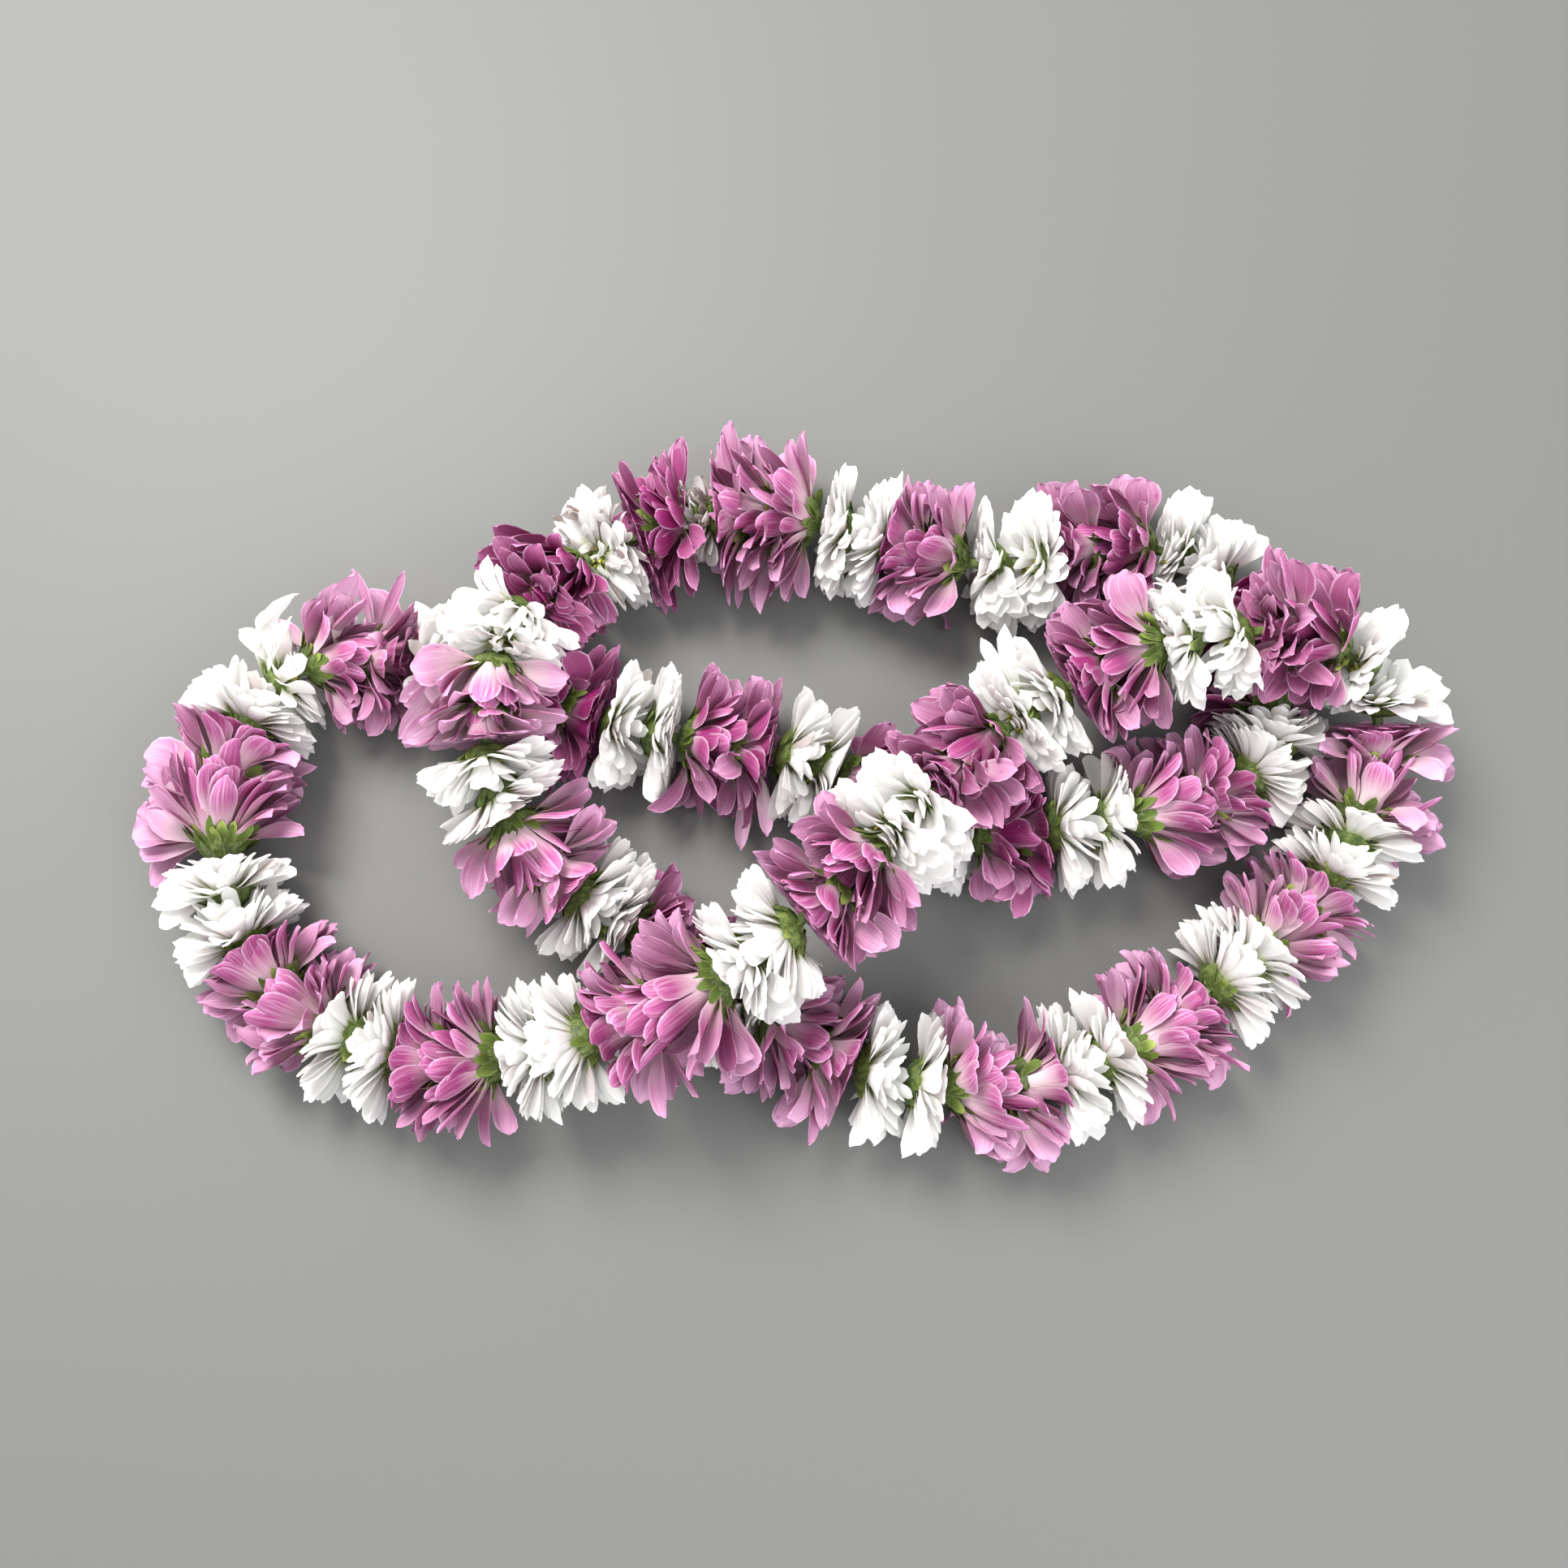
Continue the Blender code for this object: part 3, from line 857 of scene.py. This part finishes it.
def mauve_material():
    """Silky mauve tissue that lets some light through."""
    nodes = Nodes("mauve_petals")
    across, along, side, chance = nodes.attribute("petal_place")
    pale, depth = nodes.attribute("petal_look")[:2]
    veins = petal_veins(nodes, across, along, chance)
    body = mauve_tissue(nodes, veins, pale, chance)
    body = mauve_margins(nodes, body, across, along, side, pale)
    body = mauve_base(nodes, body, along, pale, depth)
    normal = nodes.bump(veins, 0.35, 0.0004)
    nodes.let_through(0.36, nodes.mix(1.0, body, MAUVE_GLOW, "MULTIPLY"), normal)
    return nodes.surface(body, normal, roughness=0.58, specular=0.10)


# Colours of a white petal: clean and creamy, and what is laid over it.
WHITE = (0.96, 0.955, 0.95)
CREAM = (0.94, 0.935, 0.91)
GREY_VEIN = (0.84, 0.84, 0.80)
WILTED_BROWN = (0.52, 0.43, 0.40)
BLUSH = (0.84, 0.62, 0.72)
WHITE_CLAW = (0.58, 0.64, 0.30)


def white_material():
    """White tissue, brown where it has wilted, that lets much of the light through."""
    nodes = Nodes("white_petals")
    across, along, _, chance = nodes.attribute("petal_place")
    pale = nodes.attribute("petal_look")[0]
    veins = petal_veins(nodes, across, along, chance)
    body = nodes.mix(nodes.times(chance, 0.5), WHITE, CREAM)
    body = nodes.mix(nodes.spread(veins, 0.52, 0.34, 0.0, 0.30), body, GREY_VEIN)
    body = nodes.mix(nodes.spread(pale, 0.34, 0.16, 0.0, 0.85), body, WILTED_BROWN)
    blush = nodes.times(nodes.spread(chance, 0.88, 0.97), nodes.spread(along, 0.5, 0.1))
    body = nodes.mix(nodes.times(blush, 0.4), body, BLUSH)
    body = nodes.mix(nodes.spread(along, 0.20, 0.02, 0.0, 0.60), body, WHITE_CLAW)
    normal = nodes.bump(veins, 0.30, 0.0003)
    nodes.let_through(0.60, body, normal)
    return nodes.surface(body, normal, roughness=0.55, specular=0.30)


def mottled_material(name, grain, levels, dark, light, relief, roughness):
    """A material that a fine noise mottles from dark to light and roughens.

    Grain is the noise's scale, detail and roughness, and relief the bump's strength and distance."""
    nodes = Nodes(name)
    place = nodes.add("ShaderNodeTexCoord").outputs["Object"]
    patches = nodes.noise(place, *grain)
    body = nodes.mix(nodes.spread(patches, *levels), dark, light)
    return nodes.surface(body, nodes.bump(patches, *relief), roughness)


def cup_material():
    """The dark green of the cup under the bracts."""
    return mottled_material(
        "calyx_cup_green", grain=(420.0, 3.0, 0.6), levels=(0.35, 0.70), dark=(0.04, 0.065, 0.012),
        light=(0.13, 0.18, 0.04), relief=(0.4, 0.0004), roughness=0.55,
    )


def disc_material():
    """The yellow green of the florets."""
    return mottled_material(
        "disc_yellow_green", grain=(700.0, 2.0, 0.5), levels=(0.35, 0.70), dark=(0.26, 0.26, 0.035),
        light=(0.50, 0.44, 0.07), relief=(0.3, 0.0002), roughness=0.60,
    )


def string_material():
    """Fibrous undyed cotton."""
    return mottled_material(
        "cotton_string", grain=(2600.0, 3.0, 0.7), levels=(0.3, 0.7), dark=(0.62, 0.58, 0.48),
        light=(0.86, 0.83, 0.76), relief=(0.5, 0.0002), roughness=0.92,
    )


# Colours of a bract: the two ends of its own green, and what is laid over it.
DARK_GREEN = (0.055, 0.088, 0.014)
MID_GREEN = (0.115, 0.165, 0.030)
GREEN_VEIN = (0.17, 0.23, 0.05)
BRIGHT_GREEN = (0.38, 0.45, 0.11)
BRACT_BASE = (0.030, 0.046, 0.010)
BRACT_RIM = (0.25, 0.28, 0.10)


def bract_material():
    """Veined green, with a light rim and a few bright tips."""
    nodes = Nodes("calyx_green")
    across, along, _, chance = nodes.attribute("petal_place")
    veins = petal_veins(nodes, across, along, chance)
    body = nodes.mix(chance, DARK_GREEN, MID_GREEN)
    body = nodes.mix(nodes.spread(veins, 0.35, 0.65, 0.0, 0.35), body, GREEN_VEIN)
    bright = nodes.times(nodes.spread(chance, 0.70, 0.90), nodes.spread(along, 0.2, 0.8))
    body = nodes.mix(nodes.times(bright, 0.7), body, BRIGHT_GREEN)
    body = nodes.mix(nodes.spread(along, 0.55, 0.0, 0.0, 0.55), body, BRACT_BASE)
    rim = nodes.spread(rim_share(nodes, across), 0.70, 1.0, 0.0, 0.50)
    body = nodes.mix(rim, body, BRACT_RIM)
    return nodes.surface(body, nodes.bump(veins, 0.4, 0.0003), roughness=0.50, specular=0.20)


# ---- calyxes

# Rows of pointed bracts, written as the petals' layers are.
BRACT_LAYERS = {
    "white": [(8, 0.4, 3.2, 50, -14, 0, 6.2, 3.6), (10, 1.6, 5.0, 46, -20, 0, 6.6, 3.6)],
    "mauve": [
        (8, 0.3, 3.2, 50, -10, 0, 6.8, 4.2),
        (10, 1.6, 5.2, 44, -12, 0, 7.6, 4.2),
        (12, 3.0, 6.8, 38, -8, 0, 7.2, 3.8),
    ],
}
BRACT_GRID = (4, 3)
BRACT_SWEEP = 0.4
# The stub of stem and the ribbed cup that the bracts sit on, as rings of (mm forward of the calyx's back, mm
# from the string), and the bore for the string.
STUB_RINGS = [(-4.2, 1.35), (-4.0, 1.75), (-2.0, 1.6), (0.9, 1.8)]
CUP_RINGS = [(0.5, 3.2), (1.3, 5.4), (2.8, 7.2), (4.4, 8.0), (5.7, 7.0), (7.0, 4.0), (7.6, 1.6)]
CUP_SIDES = 14
RIB_HEIGHT = 0.06
CUP_SIZES = (0.95, 1.05)
BORE_RADIUS = 1.0
CALYX_GAP = 0.6 * MM
# Florets on the disc, each a small bud, in a spiral from the inner to the outer radius (mm).
FLORETS = 13
FLORET_RINGS = [(0.0, 0.50), (1.2, 0.78), (2.0, 0.30)]
FLORET_SIDES = 5
FLORET_HEIGHTS = (0.8, 1.25)
FLORET_TURN_SPREAD = 0.08
DISC_FRONT = 7.3
DISC_DOME = 0.9
DISC_RADII = (1.9, 4.3)
DISC_PACKING = 0.6
GOLDEN_TURN = 0.381966


def ring_places(rings, sides):
    """(mm forward, mm out, turn) of rings round the string, as (ring, side, 3)."""
    turn = TURN * np.arange(sides) / sides
    return np.array([[(ahead, out, angle) for angle in turn] for ahead, out in rings])


def tube_faces(rings, sides):
    """Faces of a tube whose last ring joins its first, so that it is closed like a ring."""
    faces = []
    for ring in range(rings):
        near, far = ring * sides, ((ring + 1) % rings) * sides
        for side in range(sides):
            after = (side + 1) % sides
            faces.append((near + side, near + after, far + after, far + side))
    return faces


def on_lei(bloom, places):
    """Points for (mm forward, mm out, turn) places on a bloom, tilted as the bloom is."""
    ahead, out, turn = np.moveaxis(places, -1, 0)
    ahead = ahead + out * np.sin(bloom.tilt * np.cos(turn - bloom.tilt_side))
    return points_at(bloom.start + ahead / USUAL_PITCH, out * MM, turn, CALYX_GAP)


def section_bracts(section, blooms, rng):
    """The bracts of one section's blooms."""
    bracts = grown(blooms, BRACT_LAYERS[colour_of(section)], BRACT_FORM, rng)
    bracts.sweep *= BRACT_SWEEP
    return bracts


def cup_part(bloom, rng):
    """The calyx's ribbed cup with the stub behind it, as a closed tube round the string."""
    rings = STUB_RINGS + CUP_RINGS
    bore = [(rings[-1][0], BORE_RADIUS), (rings[0][0], BORE_RADIUS)]
    places = ring_places(rings + bore, CUP_SIDES)
    ribs = 1 + RIB_HEIGHT * (-1.0) ** np.arange(CUP_SIDES)
    places[: len(rings), :, 1] *= ribs * rng.uniform(*CUP_SIZES)
    return on_lei(bloom, places).reshape(-1, 3), tube_faces(len(rings + bore), CUP_SIDES)


def floret_faces():
    """A bud's sides and its two ends."""
    last = (len(FLORET_RINGS) - 1) * FLORET_SIDES
    foot = tuple(reversed(range(FLORET_SIDES)))
    top = tuple(range(last, last + FLORET_SIDES))
    return [*tube_faces(len(FLORET_RINGS), FLORET_SIDES)[:last], foot, top]


def floret_places(number, rng):
    """One bud's place in the spiral, as (mm forward, mm out, turn)."""
    share = (number + 0.5) / FLORETS
    inner, outer = DISC_RADII
    out = inner + (outer - inner) * share**DISC_PACKING
    turn = TURN * (number * GOLDEN_TURN) + rng.normal(0, FLORET_TURN_SPREAD)
    bud = ring_places(FLORET_RINGS, FLORET_SIDES)
    ahead = DISC_FRONT - DISC_DOME * share**2 + bud[..., 0] * rng.uniform(*FLORET_HEIGHTS)
    east = out + bud[..., 1] * np.cos(bud[..., 2])
    north = bud[..., 1] * np.sin(bud[..., 2])
    return np.stack([ahead, np.hypot(east, north), turn + np.arctan2(north, east)], axis=2)


def disc_parts(bloom, rng):
    """A bloom's disc: buds packed in a spiral round the string."""
    faces = floret_faces()
    return [
        (on_lei(bloom, floret_places(number, rng)).reshape(-1, 3), faces) for number in range(FLORETS)
    ]


# ---- string

STRING_RADIUS = 0.75 * MM
STRING_SIDES = 8
STRING_STEPS = 6
PLY_TURNS = 5.0
PLY_DEPTH = 0.20
KNOT_BLOOM = 110.88
KNOT_SIZE = 1.25 * MM
KNOT_HEIGHT = 1.4
KNOT_RADIUS = 0.62 * MM
KNOT_STEPS = 36
# A direction in which the knot's tube never runs.
NEVER_ALONG = (0.31, 0.22, 0.93)


def string_part():
    """Two plies of cotton twisted together, all the way round the lei."""
    bloom = np.arange(0, BLOOMS, 1 / STRING_STEPS)[:, None]
    turn = (TURN * np.arange(STRING_SIDES) / STRING_SIDES)[None]
    plies = np.cos(2 * (turn - PLY_TURNS * bloom))
    radius = STRING_RADIUS * ((1 - PLY_DEPTH) + PLY_DEPTH * plies)
    centre, _, left, upper, _ = string_frame(bloom[:, 0])
    outward = np.cos(turn)[..., None] * left[:, None] + np.sin(turn)[..., None] * upper[:, None]
    points = centre[:, None] + radius[..., None] * outward
    return points.reshape(-1, 3), tube_faces(len(bloom), STRING_SIDES)


def closed_tube(centres, radius, sides):
    """A tube of one radius round a closed curve."""
    along = unit(np.roll(centres, -1, axis=0) - np.roll(centres, 1, axis=0))
    across = unit(np.cross(along, NEVER_ALONG))
    turn = (TURN * np.arange(sides) / sides)[None, :, None]
    ring = np.cos(turn) * across[:, None] + np.sin(turn) * np.cross(along, across)[:, None]
    return (centres[:, None] + radius * ring).reshape(-1, 3), tube_faces(len(centres), sides)


def knot_part():
    """The overhand knot that closes the string."""
    centre, forward, left, upper, _ = (value[0] for value in string_frame(np.array([KNOT_BLOOM])))
    turn = (TURN * np.arange(KNOT_STEPS) / KNOT_STEPS)[:, None]
    loop = (
        (np.sin(turn) + 2 * np.sin(2 * turn)) * left
        + (np.cos(turn) - 2 * np.cos(2 * turn)) * forward
        - KNOT_HEIGHT * np.sin(3 * turn) * upper
    )
    return closed_tube(centre + KNOT_SIZE * loop / 3, KNOT_RADIUS, STRING_SIDES)


# ---- stage, light and camera

AIM = Vector((-0.00465, 0.00127, 0.025))
CAMERA_DISTANCE = 0.54
CAMERA_ELEVATION = 77.0
CAMERA_LENS = 38.6
CAMERA_SENSOR = 36.0
NEAREST_SEEN = 0.01
FLOOR_SIZE = 40.0
FLOOR_COLOUR = (0.105, 0.105, 0.10)
# Lamps: name, place, width, watts and colour. And the light from all round.
LAMPS = [
    ("key", (-0.55, 0.75, 1.35), 0.9, 49.0, (1.0, 0.985, 0.96)),
    ("fill", (0.9, -0.7, 1.2), 1.4, 18.5, (0.96, 0.98, 1.0)),
]
ROOM_COLOUR = (0.96, 0.98, 1.0)
ROOM_STRENGTH = 1.33


def floor_material():
    """Plain pale matt grey."""
    nodes = Nodes("pale_floor")
    nodes.put(nodes.shader.inputs["Base Color"], FLOOR_COLOUR)
    nodes.shader.inputs["Roughness"].default_value = 0.6
    return nodes.material


def add_floor():
    """The plain floor under the lei."""
    half = FLOOR_SIZE / 2
    corners = [(-half, -half, 0), (half, -half, 0), (half, half, 0), (-half, half, 0)]
    floor = new_object("floor", corners, [(0, 1, 2, 3)], floor_material(), SOLID_EDGE)


def add_lamp(name, place, size, watts, colour):
    """A round soft lamp that points at the lei."""
    light = bpy.data.lights.new(name, "AREA")
    light.shape = "DISK"
    light.size = size
    light.energy = watts
    light.color = colour
    lamp = bpy.data.objects.new(name, light)
    lamp.location = place
    lamp.rotation_euler = (AIM - Vector(place)).to_track_quat("-Z", "Y").to_euler()
    bpy.context.scene.collection.objects.link(lamp)


def add_lights():
    """The lamps and the light of the room."""
    for lamp in LAMPS:
        add_lamp(*lamp)
    world = bpy.data.worlds.new("soft_room")
    world.use_nodes = True
    sky = world.node_tree.nodes["Background"]
    sky.inputs["Color"].default_value = (*ROOM_COLOUR, 1.0)
    sky.inputs["Strength"].default_value = ROOM_STRENGTH
    bpy.context.scene.world = world


def add_camera():
    """The camera, in front of the lei and high above it."""
    camera = bpy.data.cameras.new("camera")
    camera.lens = CAMERA_LENS
    camera.sensor_width = CAMERA_SENSOR
    camera.clip_start = NEAREST_SEEN
    eye = bpy.data.objects.new("camera", camera)
    tilt = np.radians(CAMERA_ELEVATION)
    eye.location = AIM + CAMERA_DISTANCE * Vector((0.0, -np.cos(tilt), np.sin(tilt)))
    eye.rotation_euler = (AIM - eye.location).to_track_quat("-Z", "Y").to_euler()
    bpy.context.scene.collection.objects.link(eye)
    bpy.context.scene.camera = eye


# ---- the lei

def dress(piece, replaced=None):
    """Declares a piece of the lei: nothing in it moves on its own."""
    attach(piece, "root")
    if replaced:
        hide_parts(replaced)


def dress_section(section, materials, rng):
    """One section's petals, in place of its solid, and its bracts, cups and discs."""
    colour = colour_of(section)
    number = f"{section + 1:02d}"
    blooms = section_blooms(section, rng)
    petals = section_petals(section, blooms, rng)
    form = PETAL_FORMS[colour]
    piece = leaf_object(f"petals_{number}_{colour}", petals, form, PETAL_GRID, materials[colour])
    dress(piece, f"section_{number}_{colour}")
    bracts = section_bracts(section, blooms, rng)
    piece = leaf_object(f"calyxes_{number}", bracts, BRACT_FORM, BRACT_GRID, materials["bracts"])
    dress(piece)
    cups = [cup_part(bloom, rng) for bloom in blooms]
    dress(solid_object(f"cups_{number}", cups, materials["cups"]))
    discs = [part for bloom in blooms for part in disc_parts(bloom, rng)]
    dress(solid_object(f"discs_{number}", discs, materials["discs"]))


def dress_sections():
    """All the sections, in the order of stringing, from one row of random numbers."""
    rng = np.random.default_rng(SEED)
    materials = {
        "white": white_material(),
        "mauve": mauve_material(),
        "bracts": bract_material(),
        "cups": cup_material(),
        "discs": disc_material(),
    }
    for section in range(SECTIONS):
        dress_section(section, materials, rng)


def dress_string():
    """The string and its knot, in place of the string's solid."""
    cord = solid_object("cotton_string", [string_part(), knot_part()], string_material())
    dress(cord, "string")


def main():
    """The stage and the lei on it."""
    bpy.context.scene.view_settings.view_transform = "Standard"
    add_camera()
    add_lights()
    add_floor()
    dress_sections()
    dress_string()


main()
